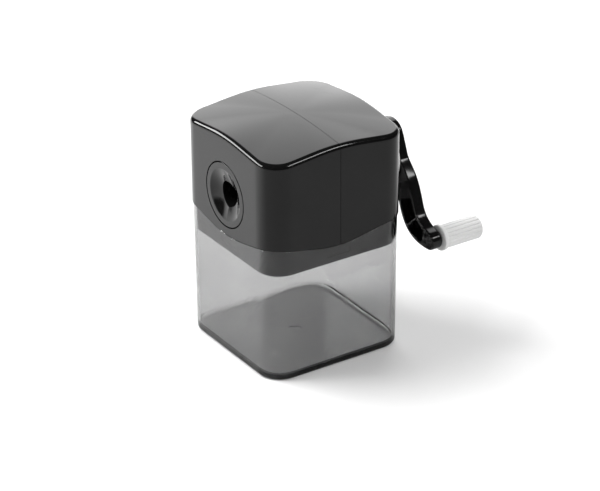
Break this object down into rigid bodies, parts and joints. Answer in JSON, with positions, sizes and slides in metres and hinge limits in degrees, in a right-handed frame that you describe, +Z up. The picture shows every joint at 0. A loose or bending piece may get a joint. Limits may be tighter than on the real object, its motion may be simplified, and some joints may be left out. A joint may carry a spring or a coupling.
{
  "type": "pencil sharpener",
  "caption": "Desk pencil sharpener with a hand crank: rounded square head with a pencil hole, planetary cutter inside, on a clear smoke shavings bin that lifts off.",
  "frame": {"origin": "centre of the flat underside of the shavings bin", "axes": "+Z up; the pencil goes in at the front, which faces -Y; the crank is at the rear, +Y"},
  "size_m": [0.0814, 0.1115, 0.1115],
  "materials": {
    "bin_plastic": "clear smoke-grey, polished",
    "frame_plastic": "black, satin",
    "case_plastic": "black, polished",
    "guide_plastic": "black, polished dish",
    "mechanism_plastic": "dark grey, moulded",
    "gear_steel": "machined",
    "bush_brass": "turned",
    "grey_plastic": "light grey, satin",
    "crank_plastic": "black, polished",
    "shaft_steel": "ground",
    "screw_steel": "zinc plated",
    "carrier_casting": "die cast",
    "cutter_steel": "hardened, ground teeth"
  },
  "bodies": {
    "bin": {"shavings_bin": "bin_plastic"},
    "head": {"base_frame": "frame_plastic", "front_case": "case_plastic", "rear_case": "case_plastic", "pencil_guide": "guide_plastic", "mechanism_frame": "mechanism_plastic", "ring_gear": "gear_steel", "front_bush": "bush_brass", "rear_bush": "bush_brass", "rear_collar": "grey_plastic", "case_screw_front_left": "screw_steel", "case_screw_front_right": "screw_steel", "case_screw_rear_left": "screw_steel", "case_screw_rear_right": "screw_steel", "frame_screw_front_left": "screw_steel", "frame_screw_front_right": "screw_steel", "frame_screw_rear_left": "screw_steel", "frame_screw_rear_right": "screw_steel"},
    "crank": {"crank_arm": "crank_plastic", "crank_shaft": "shaft_steel", "crank_screw": "screw_steel", "cutter_carrier": "carrier_casting", "cutter_pin": "shaft_steel", "thrust_washer": "shaft_steel", "shaft_clip": "shaft_steel", "knob_pin": "crank_plastic"},
    "knob": {"knob_grip": "grey_plastic"},
    "cutter_unit": {"cutter": "cutter_steel", "cutter_pinion": "gear_steel"}
  },
  "joints": [
    {"name": "head_lift", "type": "slide", "parent": "bin", "child": "head", "axis": [0, 0, 1], "range_m": [0, 0.03]},
    {"name": "crank_spin", "type": "hinge", "parent": "head", "child": "crank", "pos_m": [0, 0.0468, 0.0806], "axis": [0, 1, 0], "continuous": true},
    {"name": "cutter_spin", "type": "hinge", "parent": "crank", "child": "cutter_unit", "pos_m": [0, -0.0193, 0.06943], "axis": [0, 0.9799, 0.1994], "continuous": true},
    {"name": "knob_spin", "type": "hinge", "parent": "crank", "child": "knob", "pos_m": [0.0383, 0.0526, 0.0498], "axis": [0, 1, 0], "continuous": true}
  ],
  "couplings": [
    {"joint": "cutter_spin", "follows": "crank_spin", "ratio": -3.25}
  ]
}
